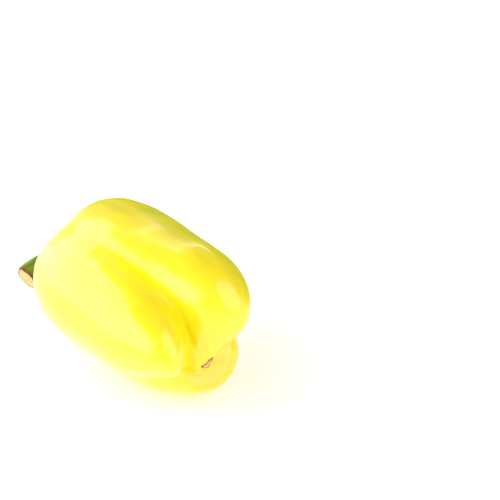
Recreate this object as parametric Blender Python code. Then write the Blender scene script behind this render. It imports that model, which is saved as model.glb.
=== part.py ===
"""A yellow bell pepper, picked, lying on its side.

Metres, +Z up.  +X runs along the fruit's own axis from the stem end to the blossom end.  The origin is
the middle of the underside of the whole pepper, on the plane that it lies on.

The fruit is one closed skin of three lobes.  A point on it is given by s, which runs from 0 at the
middle of the stem recess over the shoulder, along the side and over the lobes' tips to 1 at the
blossom scar, and by an angle around the axis, from +Y toward +Z.
"""
import math

import bmesh
import bpy
import numpy as np

# ------------------------------------------------------------------ driving sizes, metres and degrees
LENGTH = 0.104             # fruit, from its shoulders to the tips of its lobes
RADIUS = 0.038             # from the axis to the crest of a lobe, where the fruit is widest
REST_DEPTH = 0.0006        # how deep the underside is pressed flat where it lies
TIP_SIDE = -0.0035         # the blossom end lies off the axis, toward -Y
TIP_DROP = -0.0072         # and below it
SCAR_SIDE = 0.0037         # the scar itself lies off that again, back toward +Y
SCAR_DROP = -0.0036        # and further down
GAP = 0.0005               # clearance between neighbouring pieces

# The skin's section along the crest of a lobe and along a groove, from the recess to the scar:
# distance along the axis in half lengths, distance from the axis in radii.
CREST = ((-0.68, 0.0), (-0.78, 0.24), (-1.0, 0.53), (-0.86, 0.84), (-0.45, 1.0), (0.10, 0.98),
         (0.56, 0.89), (0.90, 0.70), (1.0, 0.48), (0.93, 0.32), (0.83, 0.19), (0.815, 0.0))
GROOVE = ((-0.68, 0.0), (-0.74, 0.21), (-0.84, 0.44), (-0.72, 0.74), (-0.38, 0.90), (0.10, 0.86),
          (0.46, 0.74), (0.66, 0.54), (0.73, 0.38), (0.74, 0.26), (0.77, 0.14), (0.815, 0.0))

# A lobe begins at one groove and ends at the next one's.  Values in threes are for the shoulder, the
# middle and the tip: the groove's angle, how deep it is, how far the crest swells, and how full the
# lobe is, where smaller is squarer across.  belly swells the crest before the tip, tip and shoulder
# move the lobe's two ends along the axis, and fill raises the slope between its tip and the scar, in
# half lengths.
LOBES = (
    dict(start=(0, -5, -15), deep=(1.0, 1.0, 1.0), swell=(0.94, 0.97, 1.08), full=(0.9, 0.85, 0.7),
         belly=0.085, tip=0.0, shoulder=0.0, fill=0.02),
    dict(start=(118, 115, 114), deep=(0.3, 1.3, 1.0), swell=(1.0, 1.015, 1.04), full=(0.9, 0.85, 1.0),
         belly=0.0, tip=-0.06, shoulder=0.06, fill=-0.06),
    dict(start=(212, 216, 226), deep=(1.0, 1.0, 0.9), swell=(0.97, 0.99, 0.92), full=(0.9, 0.85, 0.7),
         belly=0.0, tip=-0.19, shoulder=0.0, fill=0.10),
)
GROOVE_SOFTNESS = (0.5, 0.32, 0.35)    # width of the grooves' rounded floor
KNOB_FADE = 0.35           # how much of their depth the grooves lose where they meet the knob
KNOB_WIDTH = 0.0062        # how far the knob spreads around the scar
KNOB_DROP = 0.0030         # how steeply it falls away at its foot
BRIDGE_ANGLE = 72.0        # where a ridge joins the knob to the upper lobe
BRIDGE_SPREAD = 62.0

CALYX_REACH = 0.118        # how far the calyx spreads up the recess, as a value of s
CALYX_SEPALS = 6
SEPAL_REACH = 0.030        # how much further the sepals' points go, as a value of s
CALYX_THICKNESS = 0.0016
HUB_RADIUS = 0.0068        # flat seat of the stem on the calyx
HUB_HEIGHT = 0.0056        # from the bottom of the recess

STEM_RADIUS = 0.0040       # at its middle
STEM_BASE_RADIUS = 0.82 * HUB_RADIUS
STEM_CUT_RADIUS = 0.0060   # swollen end, where the stem was cut
STEM_CLEARANCE = 0.0066    # the bent stem stands this far out past the shoulders
STEM_SWING = 0.71          # how far the stem bends over toward -Y, in radii
STEM_SAG = 0.0062          # how far its end hangs down
STEM_END_HEADING = (0.16, -0.95, -0.28)
STEM_RIDGES = 5

SCAR_REACH = 0.038         # half length of the scar, as a value of s
SCAR_NARROWING = 0.40      # its width as a fraction of its length
SCAR_TURN = 27.0           # which way it lies, as an angle around the axis
SCAR_THICKNESS = 0.0007

# ------------------------------------------------------------------ mesh density
FRUIT_RINGS, FRUIT_SIDES = 52, 92
CALYX_RINGS, CALYX_SIDES = 8, 60
STEM_RINGS, STEM_SIDES = 16, 30
SCAR_RINGS, SCAR_SIDES = 3, 20


# ------------------------------------------------------------------ curves
def smooth(t):
    """Ease from 0 to 1 while t goes from 0 to 1."""
    t = np.clip(t, 0.0, 1.0)
    return t * t * (3.0 - 2.0 * t)


def hill(t, middle, width):
    """A soft hill, 1 at the middle and 0 from a width away."""
    return smooth(1.0 - np.abs(t - middle) / width)


def along(values, s):
    """Value at s, eased through one at the shoulder, one at the middle and one at the tip."""
    shoulder, middle, tip = values
    return (shoulder + (middle - shoulder) * smooth((s - 0.15) / 0.3)
            + (tip - middle) * smooth((s - 0.55) / 0.3))


def spline(knots, s, flat_ends):
    """Cubic spline through evenly spaced knots, with level ends or with natural ones."""
    y = np.asarray(knots, dtype=float)
    n = len(y) - 1
    step = 1.0 / n
    matrix = np.zeros((n + 1, n + 1))
    right = np.zeros(n + 1)
    for i in range(1, n):
        matrix[i, i - 1:i + 2] = 1.0, 4.0, 1.0
        right[i] = 6.0 * (y[i - 1] - 2.0 * y[i] + y[i + 1]) / step ** 2
    if flat_ends:
        matrix[0, :2] = matrix[n, n:n - 2:-1] = 2.0, 1.0
        right[0] = 6.0 * (y[1] - y[0]) / step ** 2
        right[n] = 6.0 * (y[n - 1] - y[n]) / step ** 2
    else:
        matrix[0, 0] = matrix[n, n] = 1.0
    bend = np.linalg.solve(matrix, right)
    k = np.clip((np.asarray(s) * n).astype(int), 0, n - 1)
    b = s * n - k
    a = 1.0 - b
    return (a * y[k] + b * y[k + 1]
            + ((a ** 3 - a) * bend[k] + (b ** 3 - b) * bend[k + 1]) * step ** 2 / 6.0)


def section(knots, s):
    """Axial and radial distance, in half lengths and radii, along one of the two sections."""
    axial = spline([p[0] for p in knots], s, True)
    radial = np.maximum(spline([p[1] for p in knots], s, False), 0.0)
    return axial, radial


# ------------------------------------------------------------------ the skin
def skin(s, angle):
    """Points of the fruit's skin, for arrays of s and of the angle in degrees."""
    s, angle = np.broadcast_arrays(np.asarray(s, float), np.asarray(angle, float))
    crest_x, crest_r = section(CREST, s)
    groove_x, groove_r = section(GROOVE, s)
    soft = along(GROOVE_SOFTNESS, s)
    near_tip = smooth((s - 0.5) / 0.32) * smooth((1.0 - s) / 0.2)
    near_shoulder = smooth((0.46 - s) / 0.28) * smooth(s / 0.15)
    x, r = np.array(groove_x), np.array(groove_r)
    for k, lobe in enumerate(LOBES):
        after = LOBES[(k + 1) % len(LOBES)]
        start = along(lobe["start"], s)
        end = along(after["start"], s) + (360.0 if k == len(LOBES) - 1 else 0.0)
        turn = np.mod(angle - start, 360.0)
        u = turn / (end - start)
        inside = u < 1.0
        u = np.where(inside, u, 0.5)
        rise = (np.sqrt(np.sin(np.pi * u) ** 2 + soft ** 2) - soft) / (np.sqrt(1.0 + soft ** 2) - soft)
        rise = rise ** along(lobe["full"], s)
        depth = along(lobe["deep"], s) * (1.0 - smooth(u)) + along(after["deep"], s) * smooth(u)
        depth = depth * (1.0 - KNOB_FADE * smooth((s - 0.84) / 0.12))
        floor_x = crest_x + (groove_x - crest_x) * depth
        floor_r = crest_r + (groove_r - crest_r) * depth
        top_x = (crest_x + lobe["tip"] * near_tip + lobe["shoulder"] * near_shoulder
                 + lobe["fill"] * hill(s, 0.88, 0.13))
        top_r = crest_r * (along(lobe["swell"], s) + lobe["belly"] * hill(s, 0.58, 0.16))
        x = np.where(inside, floor_x + rise * (top_x - floor_x), x)
        r = np.where(inside, floor_r + rise * (top_r - floor_r), r)
    # the knob: a low mound around the scar, which a ridge joins to the upper lobe
    ridge = smooth(1.0 - np.abs(np.mod(angle - BRIDGE_ANGLE + 180.0, 360.0) - 180.0) / BRIDGE_SPREAD)
    drop = KNOB_DROP * (1.0 - 0.85 * ridge) * (r * RADIUS / KNOB_WIDTH) ** 2
    mound = CREST[-1][0] - drop / (LENGTH / 2.0)
    higher = 0.5 * (x + mound + np.sqrt((x - mound) ** 2 + 0.016 ** 2)) - 0.008
    x = x + (higher - x) * smooth((s - 0.80) / 0.06)
    lean, end = smooth((s - 0.6) / 0.4), smooth((s - 0.84) / 0.16)
    turn = np.radians(angle)
    return np.stack([x * LENGTH / 2.0,
                     r * RADIUS * np.cos(turn) + TIP_SIDE * lean + SCAR_SIDE * end,
                     r * RADIUS * np.sin(turn) + TIP_DROP * lean + SCAR_DROP * end], axis=-1)


def skin_normal(s, angle):
    """Outward directions of the skin."""
    s = np.clip(s, 0.004, 0.996)
    ds, da = 0.002, 0.5
    along_s = skin(s + ds, angle) - skin(s - ds, angle)
    along_a = skin(s, angle + da) - skin(s, angle - da)
    normal = np.cross(along_a, along_s)
    normal /= np.linalg.norm(normal, axis=-1, keepdims=True)
    return normal


# ------------------------------------------------------------------ meshes
def loft(name, rings, colour, roughness):
    """A closed object through rings of points.  Its first and last ring are single points."""
    bm = bmesh.new()
    verts = [[bm.verts.new(p) for p in ring] for ring in rings]
    for low, high in zip(verts, verts[1:]):
        count = max(len(low), len(high))
        for i in range(count):
            j = (i + 1) % count
            if len(low) == 1:
                bm.faces.new((low[0], high[j], high[i]))
            elif len(high) == 1:
                bm.faces.new((low[i], low[j], high[0]))
            else:
                bm.faces.new((low[i], low[j], high[j], high[i]))
    if bm.calc_volume(signed=True) < 0.0:
        bmesh.ops.reverse_faces(bm, faces=bm.faces)
    mesh = bpy.data.meshes.new(name)
    bm.to_mesh(mesh)
    bm.free()
    obj = bpy.data.objects.new(name, mesh)
    bpy.context.scene.collection.objects.link(obj)
    material = bpy.data.materials.new(name)
    material.use_nodes = True
    surface = material.node_tree.nodes["Principled BSDF"]
    surface.inputs["Base Color"].default_value = (*colour, 1.0)
    surface.inputs["Roughness"].default_value = roughness
    surface.inputs["Metallic"].default_value = 0.0
    material.diffuse_color = (*colour, 1.0)
    mesh.materials.append(material)
    return obj


def shade(obj):
    """Smooth shading, with edges sharper than 40 degrees left hard."""
    obj.data.shade_smooth()
    obj.data.set_sharp_from_angle(angle=math.radians(40.0))


def angles(count):
    return np.arange(count) * 360.0 / count


def on_skin(end, edge, rings, sides, height):
    """Rings of a plate that lies on the skin around one of its poles, end 0 or 1.

    edge(angle) is how far the plate reaches, height(t, angle, radius, point) moves its upper side
    while t goes from 0 at the pole to 1 at the rim.
    """
    turn = angles(sides)
    under, upper = [], []
    for t in np.linspace(0.0, 1.0, rings + 1):
        s = np.abs(end - t * edge(turn))
        point, normal = skin(s, turn), skin_normal(s, turn)
        if t == 0.0:
            point, normal = point.mean(axis=0, keepdims=True), normal.mean(axis=0, keepdims=True)
            normal /= np.linalg.norm(normal)
        low = point + normal * GAP
        under.append(low)
        upper.append(height(t, turn[:len(low)], low, normal))
    return under + upper[::-1]


# ------------------------------------------------------------------ pieces
def make_fruit():
    turn = angles(FRUIT_SIDES)
    rings = [skin(s, turn) for s in np.linspace(0.0, 1.0, FRUIT_RINGS + 1)]
    rings[0], rings[-1] = rings[0][:1], rings[-1][:1]
    return loft("fruit", rings, (0.93, 0.84, 0.07), 0.28)


def press_flat(fruit):
    """Flatten the lowest part of the underside, and return the height of the flat."""
    lowest = min(v.co.z for v in fruit.data.vertices) + REST_DEPTH
    bm = bmesh.new()
    bm.from_mesh(fruit.data)
    cut = bmesh.ops.bisect_plane(bm, geom=bm.verts[:] + bm.edges[:] + bm.faces[:], dist=0.00005,
                                 plane_co=(0.0, 0.0, lowest), plane_no=(0.0, 0.0, -1.0), clear_outer=True)
    rim = [e for e in cut["geom_cut"] if isinstance(e, bmesh.types.BMEdge)]
    bmesh.ops.edgeloop_fill(bm, edges=rim)
    for vert in bm.verts:
        if vert.co.z < lowest + 0.00006:
            vert.co.z = lowest
    bmesh.ops.recalc_face_normals(bm, faces=bm.faces)
    bm.to_mesh(fruit.data)
    bm.free()
    return lowest


def hub_plane():
    return skin(0.0, 0.0)[0] - GAP - HUB_HEIGHT


def make_calyx():
    def edge(turn):
        point = np.abs(np.cos(np.radians(turn) * CALYX_SEPALS / 2.0)) ** 3
        return CALYX_REACH + SEPAL_REACH * point

    def height(t, turn, low, normal):
        rib = 1.0 + 0.35 * np.cos(np.radians(turn) * CALYX_SEPALS)
        leaf = CALYX_THICKNESS * math.sqrt(max(1.0 - t ** 4, 0.0)) * rib * min(1.0, 0.4 + t)
        top = low + normal * (leaf[:, None] + 0.0004)
        radius = np.hypot(top[:, 1], top[:, 2])
        away = smooth((radius - HUB_RADIUS) / 0.0035)
        top[:, 0] = hub_plane() * (1.0 - away) + top[:, 0] * away
        return top

    rings = on_skin(0.0, edge, CALYX_RINGS, CALYX_SIDES, height)
    return loft("calyx", rings, (0.20, 0.36, 0.04), 0.5)


def make_stem():
    """A ribbed stalk that leaves the calyx along -X and bends over toward -Y."""
    start = np.array([hub_plane() - GAP, 0.0, 0.0])
    shoulder = -CREST[2][0] * LENGTH / 2.0
    end = np.array([-shoulder - STEM_CLEARANCE, -STEM_SWING * RADIUS, -STEM_SAG])
    reach = np.linalg.norm(end - start)
    pull_out = np.array([-1.0, 0.0, 0.0]) * reach * 0.62
    pull_in = np.array(STEM_END_HEADING) * reach * 0.45
    turn = np.radians(angles(STEM_SIDES))
    rings = [start[None, :]]
    for t in np.linspace(0.0, 1.0, STEM_RINGS + 1):
        a, b = start + pull_out, end - pull_in
        centre = ((1 - t) ** 3 * start + 3 * t * (1 - t) ** 2 * a + 3 * t ** 2 * (1 - t) * b + t ** 3 * end)
        heading = 3 * ((1 - t) ** 2 * (a - start) + 2 * t * (1 - t) * (b - a) + t ** 2 * (end - b))
        heading /= np.linalg.norm(heading)
        side = np.cross(heading, (0.0, 0.0, 1.0))
        side /= np.linalg.norm(side)
        up = np.cross(side, heading)
        radius = (STEM_RADIUS + (STEM_BASE_RADIUS - STEM_RADIUS) * smooth(1.0 - t / 0.3)
                  + (STEM_CUT_RADIUS - STEM_RADIUS) * smooth((t - 0.45) / 0.5))
        radius = radius * (1.0 + 0.05 * np.cos(STEM_RIDGES * turn))
        rings.append(centre + radius[:, None] * (np.cos(turn)[:, None] * side + np.sin(turn)[:, None] * up))
    rings.append(end[None, :])
    return loft("stem", rings, (0.27, 0.42, 0.05), 0.45)


def make_scar():
    """The dried remnant of the flower, longer than it is wide, on the knob at the blossom end."""
    def edge(turn):
        along_it = np.radians(turn - SCAR_TURN)
        return SCAR_REACH / np.sqrt(np.cos(along_it) ** 2 + (np.sin(along_it) / SCAR_NARROWING) ** 2)

    def height(t, turn, low, normal):
        return low + normal * SCAR_THICKNESS * (0.55 + 0.45 * math.sqrt(max(1.0 - t * t, 0.0)))

    rings = on_skin(1.0, edge, SCAR_RINGS, SCAR_SIDES, height)
    return loft("blossom_scar", rings, (0.42, 0.25, 0.08), 0.8)


# ------------------------------------------------------------------ the pepper
def main():
    for obj in list(bpy.data.objects):
        bpy.data.objects.remove(obj, do_unlink=True)
    fruit = make_fruit()
    ground = press_flat(fruit)
    pieces = [fruit, make_calyx(), make_stem(), make_scar()]
    corners = np.array([v.co for piece in pieces for v in piece.data.vertices])
    low, high = corners.min(axis=0), corners.max(axis=0)
    move = -np.array([(low[0] + high[0]) / 2.0, (low[1] + high[1]) / 2.0, ground])
    for piece in pieces:
        piece.location = move
        shade(piece)


main()
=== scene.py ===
"""A yellow bell pepper lying on its side, on a pale floor in soft daylight."""
import math

import bpy
import numpy as np
from mathutils import Matrix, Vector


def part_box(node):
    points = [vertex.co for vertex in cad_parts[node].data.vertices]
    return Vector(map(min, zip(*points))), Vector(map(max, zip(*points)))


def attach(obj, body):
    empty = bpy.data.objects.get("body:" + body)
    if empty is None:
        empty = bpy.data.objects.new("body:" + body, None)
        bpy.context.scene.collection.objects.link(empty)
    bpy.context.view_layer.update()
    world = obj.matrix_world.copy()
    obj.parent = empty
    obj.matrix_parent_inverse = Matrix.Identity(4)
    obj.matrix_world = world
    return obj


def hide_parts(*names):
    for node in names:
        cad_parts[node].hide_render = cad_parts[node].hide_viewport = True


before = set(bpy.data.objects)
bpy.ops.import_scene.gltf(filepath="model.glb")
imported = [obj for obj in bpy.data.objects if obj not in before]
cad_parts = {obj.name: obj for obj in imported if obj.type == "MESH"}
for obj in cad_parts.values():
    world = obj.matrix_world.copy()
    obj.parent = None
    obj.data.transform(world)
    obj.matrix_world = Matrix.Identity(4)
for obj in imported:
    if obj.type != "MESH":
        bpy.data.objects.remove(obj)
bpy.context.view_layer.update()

# ------------------------------------------------------------------ sizes, as in the CAD: metres, degrees
LENGTH = 0.104
RADIUS = 0.038
TIP_SIDE, TIP_DROP = -0.0035, -0.0072        # the blossom end lies off the axis
SCAR_SIDE, SCAR_DROP = 0.0037, -0.0036       # and the scar a little further down
CREST = ((-0.68, 0.0), (-0.78, 0.24), (-1.0, 0.53), (-0.86, 0.84), (-0.45, 1.0), (0.10, 0.98),
         (0.56, 0.89), (0.90, 0.70), (1.0, 0.48), (0.93, 0.32), (0.83, 0.19), (0.815, 0.0))
GROOVE = ((-0.68, 0.0), (-0.74, 0.21), (-0.84, 0.44), (-0.72, 0.74), (-0.38, 0.90), (0.10, 0.86),
          (0.46, 0.74), (0.66, 0.54), (0.73, 0.38), (0.74, 0.26), (0.77, 0.14), (0.815, 0.0))
LOBES = (
    dict(start=(0, -5, -15), deep=(1.0, 1.0, 1.0), swell=(0.94, 0.97, 1.08), full=(0.9, 0.85, 0.7),
         belly=0.085, tip=0.0, shoulder=0.0, fill=0.02),
    dict(start=(118, 115, 114), deep=(0.3, 1.3, 1.0), swell=(1.0, 1.015, 1.04), full=(0.9, 0.85, 1.0),
         belly=0.0, tip=-0.06, shoulder=0.06, fill=-0.06),
    dict(start=(212, 216, 226), deep=(1.0, 1.0, 0.9), swell=(0.97, 0.99, 0.92), full=(0.9, 0.85, 0.7),
         belly=0.0, tip=-0.19, shoulder=0.0, fill=0.10),
)
GROOVE_SOFTNESS = (0.5, 0.32, 0.35)
KNOB_FADE = 0.35
KNOB_WIDTH = 0.0062        # how far the knob spreads around the scar
KNOB_DROP = 0.0030         # how steeply it falls away at its foot
BRIDGE_ANGLE, BRIDGE_SPREAD = 72.0, 62.0     # the ridge by which it joins the upper lobe
CALYX_REACH, SEPAL_REACH, CALYX_SEPALS = 0.118, 0.030, 6     # reaches are measured in s along the skin
CALYX_THICKNESS = 0.0016
HUB_HEIGHT = 0.0056
STEM_RADIUS, STEM_BASE_RADIUS, STEM_CUT_RADIUS = 0.0040, 0.0056, 0.0060
STEM_CLEARANCE, STEM_SWING, STEM_SAG = 0.0066, 0.71, 0.0062
STEM_END_HEADING = (0.16, -0.95, -0.28)
STEM_BEND = (0.62, 0.45)                     # how far it runs straight on from its foot and from its cut
SCAR_REACH, SCAR_NARROWING, SCAR_TURN = 0.038, 0.40, 27.0

# ------------------------------------------------------------------ sizes of the finer detail
FRONT_GROOVE = ((0.45, 119.0), (0.53, 114.5), (0.61, 110.0), (0.75, 112.0))     # s and angle down its floor
GROOVE_END_TURN = (114.0, 226.0)             # the angles between which it goes round the knob
GROOVE_END_MIDDLE = 176.0                    # where it comes nearest to the scar
GROOVE_END_S, GROOVE_END_DIP = 0.934, 0.087
VALLEY_WIDTH, VALLEY_DEPTH = 0.0036, 0.0007
DENT_HEIGHT, DENT_WAVE = 0.00034, 0.034      # broad dents all over the skin
RIPPLE_HEIGHT, RIPPLE_WAVE = 0.00004, 0.011
FURROW_HEIGHT, FURROW_WAVE, FURROW_STRETCH = 0.00010, 0.0085, 0.22     # faint furrows along the fruit
PLEATS = ((100.0, 17.0, 0.0004), (76.0, 17.0, 0.0005), (54.0, 15.0, -0.0003))   # angle, half width, height
KNOB_FOLD_HEIGHT, RECESS_RIB_HEIGHT = 0.00005, 0.00035
GROUND_SOFTNESS = 0.00028                    # how softly the underside meets the floor
HUB_EDGE, HUB_SPREAD = 0.0050, 0.0060        # where the calyx rises into the foot of the stem
LEAF_LIFT, LEAF_WRINKLE = 0.00005, 0.00012   # off the skin, and how rough its upper side is
STEM_FOOT = 0.0012                           # how far the stem starts inside the hub
STEM_RIDGES, STEM_RIDGE_TURN = 5.0, 0.4
CUT_DISH, CUT_PITH, CUT_GRAIN = 0.0004, 0.0004, 0.00008      # the cut end's hollow, middle and grain
SCAR_SINK, SCAR_RIM, SCAR_HEART, SCAR_WRINKLE = 0.0002, 0.00042, 0.00022, 0.00012

# ------------------------------------------------------------------ how finely each piece is drawn
FRUIT_RINGS, FRUIT_SIDES = 260, 420
CALYX_RINGS, CALYX_SIDES = 44, 360
STEM_RINGS, STEM_SIDES = 120, 180
SCAR_RINGS, SCAR_SIDES = 16, 120
GROOVE_STEPS = 90

# ------------------------------------------------------------------ stage
FLOOR_HALF, FLOOR_GLOW = 15.0, 0.22
DARK_SIDE = math.radians(105.0)              # the dimmer side of the room, from +X toward +Y
LIGHT_TARGET = (0.0, 0.0, 0.035)


# ------------------------------------------------------------------ curves and fields
def smooth(t):
    """A soft step from 0 at t = 0 to 1 at t = 1."""
    t = np.clip(t, 0.0, 1.0)
    return t * t * (3.0 - 2.0 * t)


def hill(t, middle, width):
    """A soft hill, 1 at the middle and 0 from a width away."""
    return smooth(1.0 - np.abs(t - middle) / width)


def near_angle(angle, middle, width):
    """A soft hill round the turn, 1 at the middle angle and 0 from a width away."""
    off = np.mod(angle - middle + 180.0, 360.0) - 180.0
    return smooth(1.0 - np.abs(off) / width)


def along(values, s):
    """A size that goes from the shoulder's value to the middle's and on to the tip's."""
    shoulder, middle, tip = values
    return (shoulder + (middle - shoulder) * smooth((s - 0.15) / 0.3)
            + (tip - middle) * smooth((s - 0.55) / 0.3))


def spline(knots, s, flat_ends):
    """A cubic through evenly spaced knots, level at its ends or without bend there."""
    y = np.asarray(knots, dtype=float)
    n = len(y) - 1
    step = 1.0 / n
    matrix = np.zeros((n + 1, n + 1))
    right = np.zeros(n + 1)
    for i in range(1, n):
        matrix[i, i - 1:i + 2] = 1.0, 4.0, 1.0
        right[i] = 6.0 * (y[i - 1] - 2.0 * y[i] + y[i + 1]) / step ** 2
    if flat_ends:
        matrix[0, :2] = matrix[n, n:n - 2:-1] = 2.0, 1.0
        right[0] = 6.0 * (y[1] - y[0]) / step ** 2
        right[n] = 6.0 * (y[n - 1] - y[n]) / step ** 2
    else:
        matrix[0, 0] = matrix[n, n] = 1.0
    bend = np.linalg.solve(matrix, right)
    k = np.clip((np.asarray(s) * n).astype(int), 0, n - 1)
    b = s * n - k
    a = 1.0 - b
    return (a * y[k] + b * y[k + 1]
            + ((a ** 3 - a) * bend[k] + (b ** 3 - b) * bend[k + 1]) * step ** 2 / 6.0)


def section(knots, s):
    """The axial and radial shares of a lengthwise section."""
    axial = spline([p[0] for p in knots], s, True)
    radial = np.maximum(spline([p[1] for p in knots], s, False), 0.0)
    return axial, radial


def field(points, wavelength, seed, waves=18):
    """A smooth random field of about -1 to 1, the sum of plane waves in seeded directions."""
    rng = np.random.default_rng(seed)
    k = rng.normal(size=(waves, 3))
    spread = rng.uniform(0.7, 1.3, (waves, 1))
    k *= (2.0 * np.pi / wavelength) * spread / np.linalg.norm(k, axis=1, keepdims=True)
    phase = rng.uniform(0.0, 2.0 * np.pi, waves)
    return np.sin(points @ k.T + phase).sum(axis=-1) * math.sqrt(1.0 / waves)


# ------------------------------------------------------------------ the skin
def skin(s, angle):
    """Points of the fruit's skin: s from the recess to the blossom scar, angle from +Y toward +Z."""
    s, angle = np.broadcast_arrays(np.asarray(s, float), np.asarray(angle, float))
    crest_x, crest_r = section(CREST, s)
    groove_x, groove_r = section(GROOVE, s)
    soft = along(GROOVE_SOFTNESS, s)
    near_tip = smooth((s - 0.5) / 0.32) * smooth((1.0 - s) / 0.2)
    near_shoulder = smooth((0.46 - s) / 0.28) * smooth(s / 0.15)
    x, r = np.array(groove_x), np.array(groove_r)
    for k, lobe in enumerate(LOBES):
        after = LOBES[(k + 1) % len(LOBES)]
        start = along(lobe["start"], s)
        end = along(after["start"], s) + (360.0 if k == len(LOBES) - 1 else 0.0)
        turn = np.mod(angle - start, 360.0)
        u = turn / (end - start)
        inside = u < 1.0
        u = np.where(inside, u, 0.5)
        rise = (np.sqrt(np.sin(np.pi * u) ** 2 + soft ** 2) - soft) / (np.sqrt(1.0 + soft ** 2) - soft)
        rise = rise ** along(lobe["full"], s)
        depth = along(lobe["deep"], s) * (1.0 - smooth(u)) + along(after["deep"], s) * smooth(u)
        depth = depth * (1.0 - KNOB_FADE * smooth((s - 0.84) / 0.12))
        floor_x = crest_x + (groove_x - crest_x) * depth
        floor_r = crest_r + (groove_r - crest_r) * depth
        top_x = (crest_x + lobe["tip"] * near_tip + lobe["shoulder"] * near_shoulder
                 + lobe["fill"] * hill(s, 0.88, 0.13))
        top_r = crest_r * (along(lobe["swell"], s) + lobe["belly"] * hill(s, 0.58, 0.16))
        x = np.where(inside, floor_x + rise * (top_x - floor_x), x)
        r = np.where(inside, floor_r + rise * (top_r - floor_r), r)
    # the knob: a low mound around the scar, which a ridge joins to the upper lobe
    away = r * RADIUS / KNOB_WIDTH
    drop = KNOB_DROP * (1.0 - 0.85 * near_angle(angle, BRIDGE_ANGLE, BRIDGE_SPREAD))
    mound = (CREST[-1][0] * LENGTH / 2.0 - drop * away ** 2) / (LENGTH / 2.0)
    both = 0.5 * (x + mound + np.sqrt((x - mound) ** 2 + 0.016 ** 2)) - 0.008
    x = x + (both - x) * smooth((s - 0.80) / 0.06)
    lean, end = smooth((s - 0.6) / 0.4), smooth((s - 0.84) / 0.16)
    turn = np.radians(angle)
    return np.stack([x * LENGTH / 2.0,
                     r * RADIUS * np.cos(turn) + TIP_SIDE * lean + SCAR_SIDE * end,
                     r * RADIUS * np.sin(turn) + TIP_DROP * lean + SCAR_DROP * end], axis=-1)


def skin_normal(s, angle):
    """The outward direction of the smooth skin."""
    s = np.clip(s, 0.004, 0.996)
    along_s = skin(s + 0.002, angle) - skin(s - 0.002, angle)
    along_a = skin(s, angle + 0.5) - skin(s, angle - 0.5)
    normal = np.cross(along_a, along_s)
    return normal / np.linalg.norm(normal, axis=-1, keepdims=True)


def valley(point):
    """1 along the floor of the groove beside the front lobe and round the knob, 0 away from it."""
    turn = np.linspace(*GROOVE_END_TURN, 6)
    half = GROOVE_END_MIDDLE - GROOVE_END_TURN[0]
    end_s = GROOVE_END_S - GROOVE_END_DIP * ((turn - GROOVE_END_MIDDLE) / half) ** 2
    path = np.concatenate([FRONT_GROOVE, np.stack([end_s, turn], axis=1)])
    t = np.linspace(0.0, len(path) - 1.0, GROOVE_STEPS)
    track = [np.interp(t, np.arange(len(path)), path[:, k]) for k in (0, 1)]
    strength = smooth((t + 0.8) / 1.8)
    best = np.zeros(point.shape[:-1])
    for spot, full in zip(skin(*track), strength):
        away = np.linalg.norm(point - spot, axis=-1)
        best = np.maximum(best, full * smooth(1.0 - away / VALLEY_WIDTH))
    return best


def relief(s, angle, point):
    """How far the real skin stands off the smooth one: dents, faint furrows, and folds round the knob."""
    ends = smooth(s / 0.12) * smooth((1.0 - s) / 0.06)
    high = DENT_HEIGHT * field(point, DENT_WAVE, 11) + RIPPLE_HEIGHT * field(point, RIPPLE_WAVE, 12)
    turn = np.radians(angle)
    drawn = np.stack([point[..., 0] * FURROW_STRETCH, RADIUS * np.cos(turn), RADIUS * np.sin(turn)], axis=-1)
    high = high + FURROW_HEIGHT * field(drawn, FURROW_WAVE, 13) * smooth((0.84 - s) / 0.2)
    high = high * ends
    # pleats that run from the upper lobe down to the scar
    window = hill(s, 0.925, 0.06)
    for middle, width, height in PLEATS:
        high = high + height * window * near_angle(angle, middle, width)
    # small folds all round the knob, and ribs down the recess
    folds = np.cos(turn * 9.0 + 0.8 * np.sin(2.0 * turn))
    high = high + KNOB_FOLD_HEIGHT * hill(s, 0.955, 0.035) * folds
    high = high + RECESS_RIB_HEIGHT * hill(s, 0.13, 0.10) * np.cos(turn * CALYX_SEPALS)
    return high - VALLEY_DEPTH * valley(point) * smooth((s - 0.80) / 0.08) * smooth((0.985 - s) / 0.03)


def fine_skin(s, angle):
    """The smooth skin with its relief."""
    s, angle = np.broadcast_arrays(np.asarray(s, float), np.asarray(angle, float))
    point = skin(s, angle)
    return point + skin_normal(s, angle) * relief(s, angle, point)[..., None]


def row_shift():
    """From the skin's own origin to the row frame, worked out from the CAD fruit's box."""
    low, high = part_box("fruit")
    rings = skin(np.linspace(0.0, 1.0, 301)[:, None], np.linspace(0.0, 359.0, 360)[None, :])
    return np.array([(low[0] + high[0] - rings[..., 0].min() - rings[..., 0].max()) / 2.0,
                     (low[1] + high[1] - rings[..., 1].min() - rings[..., 1].max()) / 2.0,
                     high[2] - rings[..., 2].max()])


SHIFT = row_shift()


# ------------------------------------------------------------------ meshes
def add_object(name, data):
    obj = bpy.data.objects.new(name, data)
    bpy.context.scene.collection.objects.link(obj)
    return obj


def sheet(name, corners):
    """A flat four-cornered object."""
    mesh = bpy.data.meshes.new(name)
    mesh.from_pydata(corners, [], [(0, 1, 2, 3)])
    return add_object(name, mesh)


def angles(count):
    """Evenly spaced degrees round one turn."""
    return np.arange(count) * 360.0 / count


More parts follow.
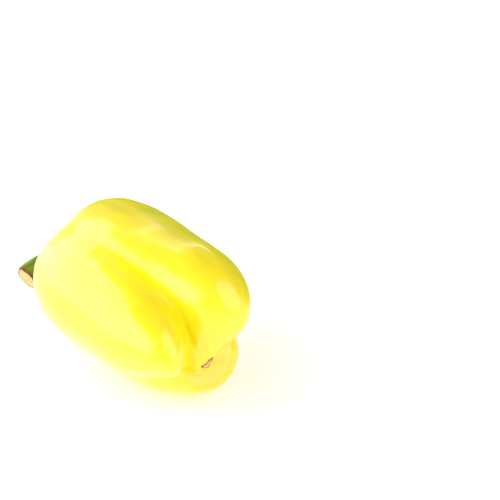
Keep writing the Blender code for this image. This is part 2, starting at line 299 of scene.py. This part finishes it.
def loft(name, rings, attributes):
    """A closed smooth object through equal rings of points, closed by a point at each end."""
    rings = np.asarray(rings, float)
    n, m = rings.shape[:2]
    first, last = rings[0].mean(axis=0), rings[-1].mean(axis=0)
    body = rings[1:-1]
    verts = np.concatenate([first[None], body.reshape(-1, 3), last[None]])
    i = np.arange(n - 3)[:, None] * m
    j = np.arange(m)[None, :]
    k = (j + 1) % m
    quads = np.stack([i + j, i + k, i + m + k, i + m + j], axis=-1).reshape(-1, 4) + 1
    j, k = j[0], k[0]
    fan = [(0, int(1 + b), int(1 + a)) for a, b in zip(j, k)]
    top = 1 + (n - 3) * m
    end = len(verts) - 1
    fan += [(int(top + a), int(top + b), end) for a, b in zip(j, k)]
    a, b, c = (verts[quads[:, x]] for x in (0, 1, 2))
    volume = np.einsum("ij,ij->i", a, np.cross(b, c)).sum()
    faces = quads.tolist() + fan
    if volume < 0.0:
        faces = [f[::-1] for f in faces]
    mesh = bpy.data.meshes.new(name)
    mesh.from_pydata(verts.tolist(), [], [tuple(f) for f in faces])
    for key, values in attributes.items():
        values = np.broadcast_to(np.asarray(values, float), (n, m))
        flat = np.concatenate([[values[0].mean()], values[1:-1].ravel(), [values[-1].mean()]])
        layer = mesh.attributes.new(key, "FLOAT", "POINT")
        layer.data.foreach_set("value", flat.astype(np.float32))
    mesh.shade_smooth()
    return add_object(name, mesh)


# ------------------------------------------------------------------ node helpers
class Nodes:
    """One node tree, and short calls that add nodes to it."""

    def __init__(self, tree):
        self.tree = tree

    def node(self, kind, **settings):
        node = self.tree.nodes.new(kind)
        for key, value in settings.items():
            setattr(node, key, value)
        return node

    def link(self, out, socket):
        self.tree.links.new(out, socket)

    def coordinates(self, scale=(1.0, 1.0, 1.0)):
        place = self.node("ShaderNodeTexCoord")
        mapping = self.node("ShaderNodeMapping")
        mapping.inputs["Scale"].default_value = scale
        self.link(place.outputs["Object"], mapping.inputs["Vector"])
        return mapping.outputs["Vector"]

    def noise(self, scale, detail, stretch=(1.0, 1.0, 1.0)):
        noise = self.node("ShaderNodeTexNoise")
        noise.inputs["Scale"].default_value = scale
        noise.inputs["Detail"].default_value = detail
        self.link(self.coordinates(stretch), noise.inputs["Vector"])
        return noise.outputs["Fac"]

    def spots(self, scale):
        cells = self.node("ShaderNodeTexVoronoi")
        cells.inputs["Scale"].default_value = scale
        self.link(self.coordinates(), cells.inputs["Vector"])
        return cells.outputs["Distance"]

    def value(self, name):
        return self.node("ShaderNodeAttribute", attribute_name=name).outputs["Fac"]

    def remap(self, source, low, high, to_low=0.0, to_high=1.0):
        remap = self.node("ShaderNodeMapRange", interpolation_type="SMOOTHSTEP")
        for key, number in zip(("From Min", "From Max", "To Min", "To Max"), (low, high, to_low, to_high)):
            remap.inputs[key].default_value = number
        self.link(source, remap.inputs["Value"])
        return remap.outputs["Result"]

    def math(self, operation, a, b):
        node = self.node("ShaderNodeMath", operation=operation)
        for socket, item in zip(node.inputs, (a, b)):
            if isinstance(item, (int, float)):
                socket.default_value = item
            else:
                self.link(item, socket)
        return node.outputs["Value"]

    def mix(self, amount, a, b):
        """Colour a where amount is 0 and b where it is 1; a colour is a socket or three numbers."""
        node = self.node("ShaderNodeMix", data_type="RGBA")
        for name, item in (("Factor", amount), ("A", a), ("B", b)):
            socket = [x for x in node.inputs if x.name == name and x.enabled][0]
            if isinstance(item, tuple):
                socket.default_value = (*item, 1.0)
            else:
                self.link(item, socket)
        return [x for x in node.outputs if x.enabled][0]

    def bump(self, height, distance, strength, normal=None):
        bump = self.node("ShaderNodeBump")
        bump.inputs["Strength"].default_value = strength
        bump.inputs["Distance"].default_value = distance
        self.link(height, bump.inputs["Height"])
        if normal is not None:
            self.link(normal, bump.inputs["Normal"])
        return bump.outputs["Normal"]


class Shader(Nodes):
    """A Principled material and the nodes that feed it."""

    def __init__(self, name, **constant):
        self.material = bpy.data.materials.new(name)
        self.material.use_nodes = True
        super().__init__(self.material.node_tree)
        self.surface = self.tree.nodes["Principled BSDF"]
        for key, value in constant.items():
            self.surface.inputs[key.replace("_", " ")].default_value = value

    def finish(self, colour, roughness=None, normal=None):
        self.link(colour, self.surface.inputs["Base Color"])
        if roughness is not None:
            self.link(roughness, self.surface.inputs["Roughness"])
        if normal is not None:
            self.link(normal, self.surface.inputs["Normal"])
        return self.material


# ------------------------------------------------------------------ materials
def fruit_material():
    shader = Shader("fruit_skin", Subsurface_Weight=0.20, Subsurface_Scale=0.004,
                    Coat_Roughness=0.20, Coat_IOR=1.62, IOR=1.46, Specular_IOR_Level=0.2)
    shader.surface.inputs["Subsurface Radius"].default_value = (1.0, 0.7, 0.1)
    clouds = shader.remap(shader.noise(38.0, 2.0), 0.35, 0.7)
    colour = shader.mix(clouds, (0.93, 0.735, 0.004), (0.94, 0.765, 0.008))
    # painted shade and reflection: patches of darker tan on the far upper side, standing in for the dim,
    # greenish surroundings it faces
    patches = shader.remap(shader.noise(60.0, 3.0), 0.3, 0.75)
    green = shader.math("MULTIPLY", shader.value("shade_side"), patches)
    colour = shader.mix(green, colour, (0.70, 0.63, 0.012))
    # painted shade: the lower lobe, which lies in shade, is coloured darker and warmer
    colour = shader.mix(shader.value("painted_shade_low"), colour, (0.90, 0.655, 0.012))
    # painted shade: the grooves and the valley round the knob are coloured a darker orange-yellow, standing
    # in for their shade
    groove = shader.math("MULTIPLY", shader.value("groove"), 0.9)
    colour = shader.mix(groove, colour, (0.84, 0.735, 0.0008))
    streaks = shader.remap(shader.noise(420.0, 3.0, stretch=(0.12, 1.0, 1.0)), 0.45, 0.75, 0.0, 0.25)
    colour = shader.mix(streaks, colour, (0.94, 0.81, 0.030))
    specks = shader.remap(shader.spots(900.0), 0.05, 0.22, 0.22, 0.0)
    colour = shader.mix(specks, colour, (0.95, 0.89, 0.10))
    roughness = shader.remap(shader.noise(180.0, 3.0), 0.3, 0.7, 0.30, 0.40)
    # painted shade on the reflections: the coat fades out along the valley floor, standing in for the
    # reflections that its walls block
    valley_reflection_shade = shader.remap(shader.value("valley"), 0.0, 0.6, 1.0, 0.05)
    shader.link(valley_reflection_shade, shader.surface.inputs["Coat Weight"])
    normal = shader.bump(shader.noise(1500.0, 2.0), 0.00003, 0.5)
    normal = shader.bump(shader.noise(230.0, 2.0, stretch=(0.5, 1.0, 1.0)), 0.00012, 0.5, normal)
    return shader.finish(colour, roughness, normal)


def green_material(name):
    shader = Shader(name, Subsurface_Weight=0.1, Subsurface_Scale=0.002,
                    IOR=1.45, Specular_IOR_Level=0.35)
    clouds = shader.remap(shader.noise(160.0, 4.0), 0.3, 0.7)
    colour = shader.mix(clouds, (0.09, 0.20, 0.004), (0.17, 0.31, 0.007))
    rib = shader.math("MULTIPLY", shader.value("rib"), 0.6)
    colour = shader.mix(rib, colour, (0.23, 0.38, 0.02))
    pores = shader.remap(shader.spots(1500.0), 0.05, 0.25, 0.35, 0.0)
    colour = shader.mix(pores, colour, (0.34, 0.44, 0.06))
    colour = shader.mix(shader.value("ripe"), colour, (0.24, 0.19, 0.006))
    flecks = shader.remap(shader.noise(900.0, 4.0), 0.3, 0.6, 0.6, 1.0)
    dry = shader.math("MULTIPLY", shader.value("dry"), flecks)
    colour = shader.mix(dry, colour, (0.12, 0.055, 0.006))
    fibres = shader.remap(shader.noise(1300.0, 4.0), 0.35, 0.65)
    wood = shader.mix(fibres, (0.56, 0.38, 0.13), (0.74, 0.55, 0.25))
    colour = shader.mix(shader.value("cut"), colour, wood)
    roughness = shader.remap(shader.noise(500.0, 3.0), 0.3, 0.7, 0.38, 0.6)
    normal = shader.bump(shader.noise(1100.0, 3.0), 0.0001, 0.6)
    return shader.finish(colour, roughness, normal)


def scar_material():
    shader = Shader("scar_brown", IOR=1.4)
    clouds = shader.remap(shader.noise(1500.0, 4.0), 0.3, 0.7)
    colour = shader.mix(clouds, (0.74, 0.44, 0.22), (0.86, 0.60, 0.36))
    fibres = shader.remap(shader.noise(1100.0, 4.0), 0.35, 0.65)
    rim = shader.mix(fibres, (0.30, 0.14, 0.03), (0.62, 0.38, 0.09))
    colour = shader.mix(shader.value("dry"), colour, rim)
    roughness = shader.remap(shader.noise(1500.0, 3.0), 0.3, 0.7, 0.7, 0.9)
    normal = shader.bump(shader.noise(2500.0, 4.0), 0.0002, 0.8)
    return shader.finish(colour, roughness, normal)


# ------------------------------------------------------------------ the fruit
def make_fruit():
    s = np.linspace(0.0, 1.0, FRUIT_RINGS + 1)[:, None]
    angle = angles(FRUIT_SIDES)[None, :]
    points = fine_skin(s, angle) + SHIFT
    # the underside is pressed flat where it lies
    above = points[..., 2]
    pressed = 0.5 * (above + np.sqrt(above ** 2 + GROUND_SOFTNESS ** 2))
    points[..., 2] = np.where(above < 4.0 * GROUND_SOFTNESS, pressed, above)
    # painted shade: masks for colouring the skin darker, tan and warmer where it lies in shade, in the
    # grooves, on the far upper side and on the lower lobe
    groove = np.zeros(np.broadcast_shapes(s.shape, angle.shape))
    for lobe in LOBES:
        groove = np.maximum(groove, 0.6 * near_angle(angle, along(lobe["start"], s), 16.0))
    groove = groove * smooth((s - 0.30) / 0.35) * smooth((0.90 - s) / 0.1)
    # the valley mask darkens the colour and thins the coat there, both painted shade
    floor = valley(skin(s, angle))
    # painted shade and reflection on the far upper side
    side = near_angle(angle, 62.0, 62.0) * smooth((s - 0.1) / 0.2) * smooth((0.8 - s) / 0.3)
    # painted shade on the lower lobe
    low = np.minimum(1.0, 1.8 * near_angle(angle, 270.0, 95.0)) * smooth((s - 0.35) / 0.2)
    fruit = loft("pepper_fruit", points, {"groove": np.maximum(groove, floor), "valley": floor,
                                          "shade_side": side * 0.85, "painted_shade_low": low})
    fruit.data.materials.append(fruit_material())
    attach(fruit, "root")
    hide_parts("fruit")


# ------------------------------------------------------------------ calyx, stem and scar
def make_calyx():
    turn = angles(CALYX_SIDES)
    hub = skin(0.0, 0.0)[0] - HUB_HEIGHT
    petal = np.abs(np.cos(np.radians(turn) * CALYX_SEPALS / 2.0)) ** 3
    reach = CALYX_REACH + SEPAL_REACH * petal + 0.004 * np.sin(np.radians(turn) * 2.0 + 0.6)
    vein = 0.5 + 0.5 * np.cos(np.radians(turn) * CALYX_SEPALS)
    under, upper, dry, rib = [], [], [], []
    for t in np.linspace(0.0, 1.0, CALYX_RINGS + 1):
        s = np.maximum(t * reach, 1e-4)
        point, normal = fine_skin(s, turn), skin_normal(s, turn)
        low = point + normal * LEAF_LIFT
        leaf = CALYX_THICKNESS * np.sqrt(max(1.0 - t ** 5, 0.0)) * min(1.0, 0.4 + t)
        leaf = leaf * (0.62 + 0.55 * vein ** 2)
        leaf = leaf + LEAF_WRINKLE * field(point, 0.004, 21) * smooth(t / 0.3) * (1.0 - t)
        top = low + normal * np.maximum(leaf, 0.0)[:, None]
        # near the axis the upper side rises to a flat hub, which carries the stem
        radius = np.hypot(top[:, 1], top[:, 2])
        away = smooth((radius - HUB_EDGE) / HUB_SPREAD)
        top[:, 0] = hub * (1.0 - away) + top[:, 0] * away
        under.append(low)
        upper.append(top)
        dry.append(smooth((t - 0.93) / 0.07) * (0.3 + 0.7 * petal))
        rib.append(vein ** 3 * smooth(t / 0.35) * (1.0 - 0.5 * t))
    calyx = loft("pepper_calyx", np.array(under + upper[::-1]) + SHIFT,
                 {"dry": dry + dry[::-1], "rib": rib + rib[::-1], "cut": 0.0, "ripe": 0.0})
    calyx.data.materials.append(green_material("calyx_green"))
    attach(calyx, "root")
    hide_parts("calyx")


def make_stem():
    start = np.array([skin(0.0, 0.0)[0] - HUB_HEIGHT + STEM_FOOT, 0.0, 0.0])
    shoulder = -CREST[2][0] * LENGTH / 2.0
    end = np.array([-shoulder - STEM_CLEARANCE, -STEM_SWING * RADIUS, -STEM_SAG])
    reach = np.linalg.norm(end - start)
    a = start + np.array([-1.0, 0.0, 0.0]) * reach * STEM_BEND[0]
    b = end - np.array(STEM_END_HEADING) * reach * STEM_BEND[1]
    turn = np.radians(angles(STEM_SIDES))
    ridge = np.cos(STEM_RIDGES * turn + STEM_RIDGE_TURN)
    rings, dry, cut, rib, ripe = [], [], [], [], []

    def frame_at(t):
        centre = ((1 - t) ** 3 * start + 3 * t * (1 - t) ** 2 * a + 3 * t ** 2 * (1 - t) * b + t ** 3 * end)
        heading = 3 * ((1 - t) ** 2 * (a - start) + 2 * t * (1 - t) * (b - a) + t ** 2 * (end - b))
        heading /= np.linalg.norm(heading)
        side = np.cross(heading, (0.0, 0.0, 1.0))
        side /= np.linalg.norm(side)
        return centre, heading, side, np.cross(side, heading)

    def girth(t):
        radius = (STEM_RADIUS + (STEM_BASE_RADIUS - STEM_RADIUS) * smooth(1.0 - t / 0.3)
                  + (STEM_CUT_RADIUS - STEM_RADIUS) * smooth((t - 0.45) / 0.5))
        return radius * (1.0 + 0.055 * ridge + 0.022 * np.cos(11.0 * turn + 3.0 * t)
                         + 0.006 * np.cos(23.0 * turn))

    def add(t, share, dish, values):
        """A ring round the stem at t, at a share of its girth, pushed along it by dish."""
        centre, heading, side, up = frame_at(t)
        radius = (girth(t) * share)[:, None]
        rings.append(centre + radius * (np.cos(turn)[:, None] * side + np.sin(turn)[:, None] * up)
                     + np.reshape(dish, (-1, 1)) * heading)
        for kept, value in zip((dry, cut, rib, ripe), values):
            kept.append(np.broadcast_to(value, turn.shape))

    add(0.0, 0.0, 0.0, (0.0, 0.0, 0.0, 0.0))
    for t in np.linspace(0.0, 1.0, STEM_RINGS):
        add(t, 1.0 - 0.06 * smooth((t - 0.975) / 0.025), 0.0,
            (smooth((t - 0.955) / 0.035), 0.0, 0.5 + 0.5 * ridge, 0.75 * smooth((t - 0.87) / 0.11)))
    for share in (0.90, 0.84, 0.76, 0.66, 0.55, 0.42, 0.28, 0.14, 0.0):
        dish = CUT_PITH * smooth((0.30 - share) / 0.3) - CUT_DISH * smooth((0.92 - share) / 0.2)
        grain = CUT_GRAIN * np.cos(7.0 * turn + 40.0 * share)
        grain = grain * smooth((0.9 - share) / 0.1) * smooth(share / 0.2)
        add(1.0, share, dish + grain, (0.9 * (share > 0.86), smooth((0.90 - share) / 0.06), 0.0, 0.0))
    stem = loft("pepper_stem", np.array(rings) + SHIFT,
                {"dry": dry, "cut": cut, "rib": rib, "ripe": ripe})
    stem.data.materials.append(green_material("stem_green"))
    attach(stem, "root")
    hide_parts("stem")


def make_scar():
    turn = angles(SCAR_SIDES)
    along_it = np.radians(turn - SCAR_TURN)
    reach = SCAR_REACH / np.sqrt(np.cos(along_it) ** 2 + (np.sin(along_it) / SCAR_NARROWING) ** 2)
    reach = reach * (1.0 + 0.10 * np.cos(along_it) + 0.09 * np.sin(3.0 * along_it + 0.5)
                     + 0.05 * np.cos(7.0 * along_it))
    under, upper, dry = [], [], []
    for t in np.linspace(0.0, 1.0, SCAR_RINGS + 1):
        s = 1.0 - np.maximum(t * reach, 1e-4)
        point, normal = fine_skin(s, turn), skin_normal(s, turn)
        under.append(point - normal * SCAR_SINK)
        rim = SCAR_RIM * hill(t, 0.80, 0.22) + SCAR_HEART * (1.0 - t)
        rim = rim + SCAR_WRINKLE * field(point, 0.0012, 41) * (1.0 - t)
        upper.append(point + normal * np.reshape(rim, (-1, 1)))
        dry.append(float(smooth((t - 0.55) / 0.25)))
    values = np.array(dry + dry[::-1])[:, None]
    scar = loft("pepper_blossom_scar", np.array(under + upper[::-1]) + SHIFT, {"dry": values})
    scar.data.materials.append(scar_material())
    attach(scar, "root")
    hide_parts("blossom_scar")


make_fruit()
make_calyx()
make_stem()
make_scar()


# ------------------------------------------------------------------ floor, light and camera
def make_floor():
    floor = sheet("floor", [(x * FLOOR_HALF, y * FLOOR_HALF, 0.0)
                            for x, y in ((-1, -1), (1, -1), (1, 1), (-1, 1))])
    shader = Shader("floor", Roughness=0.8)
    colour = shader.mix(shader.noise(6.0, 2.0), (0.94, 0.94, 0.94), (0.96, 0.96, 0.96))
    shader.surface.inputs["Emission Color"].default_value = (1.0, 1.0, 1.0, 1.0)
    shader.surface.inputs["Emission Strength"].default_value = FLOOR_GLOW
    floor.data.materials.append(shader.finish(colour))


def make_card(azimuth, distance, width, height):
    """A low green card close behind the pepper, seen only as a reflection along its far edge."""
    a = math.radians(azimuth)
    centre = np.array([math.cos(a), math.sin(a)]) * distance
    side = np.array([-math.sin(a), math.cos(a)]) * width / 2.0
    left, right = centre - side, centre + side
    card = sheet("card", [(*left, 0.0), (*right, 0.0), (*right, height), (*left, height)])
    shader = Shader("card", Roughness=0.8)
    colour = shader.mix(shader.noise(9.0, 2.0), (0.22, 0.30, 0.01), (0.30, 0.38, 0.02))
    card.data.materials.append(shader.finish(colour))
    card.visible_camera = card.visible_diffuse = card.visible_shadow = False


def stand(obj, right, up, back, place):
    """Put an object at a place, with its own X, Y and Z along right, up and back."""
    matrix = Matrix.Identity(4)
    for i in range(3):
        matrix[i] = right[i], up[i], back[i], place[i]
    obj.matrix_world = matrix


def soft_box(name, azimuth, elevation, distance, size, radiance, roll=0.0):
    """A rectangular light that faces the pepper. Azimuth is from +X toward +Y."""
    a, e = math.radians(azimuth), math.radians(elevation)
    back = np.array([math.cos(a) * math.cos(e), math.sin(a) * math.cos(e), math.sin(e)])
    right = np.array([-math.sin(a), math.cos(a), 0.0])
    up = np.cross(back, right)
    c, d = math.cos(math.radians(roll)), math.sin(math.radians(roll))
    right, up = c * right + d * up, c * up - d * right
    light = bpy.data.lights.new(name, "AREA")
    light.shape = "RECTANGLE"
    light.size, light.size_y = size
    light.energy = radiance * math.pi * size[0] * size[1]
    stand(add_object(name, light), right, up, back, np.array(LIGHT_TARGET) + back * distance)


def make_world():
    """Soft room light: dim overhead, bright near the horizon but for the side behind the pepper."""
    world = bpy.data.worlds.new("studio")
    world.use_nodes = True
    nodes = Nodes(world.node_tree)
    sky = world.node_tree.nodes["Background"]
    sky.inputs["Color"].default_value = (1.0, 1.0, 1.0, 1.0)
    place = nodes.node("ShaderNodeTexCoord")
    split = nodes.node("ShaderNodeSeparateXYZ")
    nodes.link(place.outputs["Generated"], split.inputs["Vector"])
    height = nodes.remap(split.outputs["Z"], 0.05, 0.9, 0.60, 0.20)
    behind = nodes.math("ADD", nodes.math("MULTIPLY", split.outputs["X"], math.cos(DARK_SIDE)),
                        nodes.math("MULTIPLY", split.outputs["Y"], math.sin(DARK_SIDE)))
    shade = nodes.remap(behind, 0.25, 0.8, 1.0, 0.6)
    nodes.link(nodes.math("MULTIPLY", height, shade), sky.inputs["Strength"])
    bpy.context.scene.world = world


def make_camera(azimuth, elevation, distance, heading, tilt, lens):
    """A camera that looks past the pepper. Azimuth is from -Y toward +X, heading from +Y toward -X."""
    a, e = math.radians(azimuth), math.radians(elevation)
    back = np.array([math.sin(a) * math.cos(e), -math.cos(a) * math.cos(e), math.sin(e)])
    h, p = math.radians(heading), math.radians(tilt)
    ahead = np.array([-math.sin(h) * math.cos(p), math.cos(h) * math.cos(p), -math.sin(p)])
    right = np.array([math.cos(h), math.sin(h), 0.0])
    up = np.cross(right, ahead)
    camera = add_object("camera", bpy.data.cameras.new("camera"))
    stand(camera, right, up, -ahead, SHIFT + back * distance)
    camera.data.lens = lens
    camera.data.sensor_width = 36.0
    camera.data.clip_start = 0.01
    bpy.context.scene.camera = camera


make_floor()
make_card(azimuth=110.0, distance=0.14, width=0.38, height=0.10)
make_world()
soft_box("box_left", -127.0, 25.0, 0.9, (2.2, 1.2), 2.65)
soft_box("box_right", 17.0, 35.0, 1.0, (1.1, 1.3), 1.75)
soft_box("strip_behind", 137.0, 35.0, 1.2, (1.35, 0.08), 3.0, roll=60.0)
soft_box("strip_far", 160.0, 53.0, 1.2, (0.40, 0.08), 1.6)
make_camera(azimuth=56.0, elevation=34.0, distance=0.5247, heading=49.99, tilt=31.67, lens=85.0)
bpy.context.scene.view_settings.view_transform = "Standard"
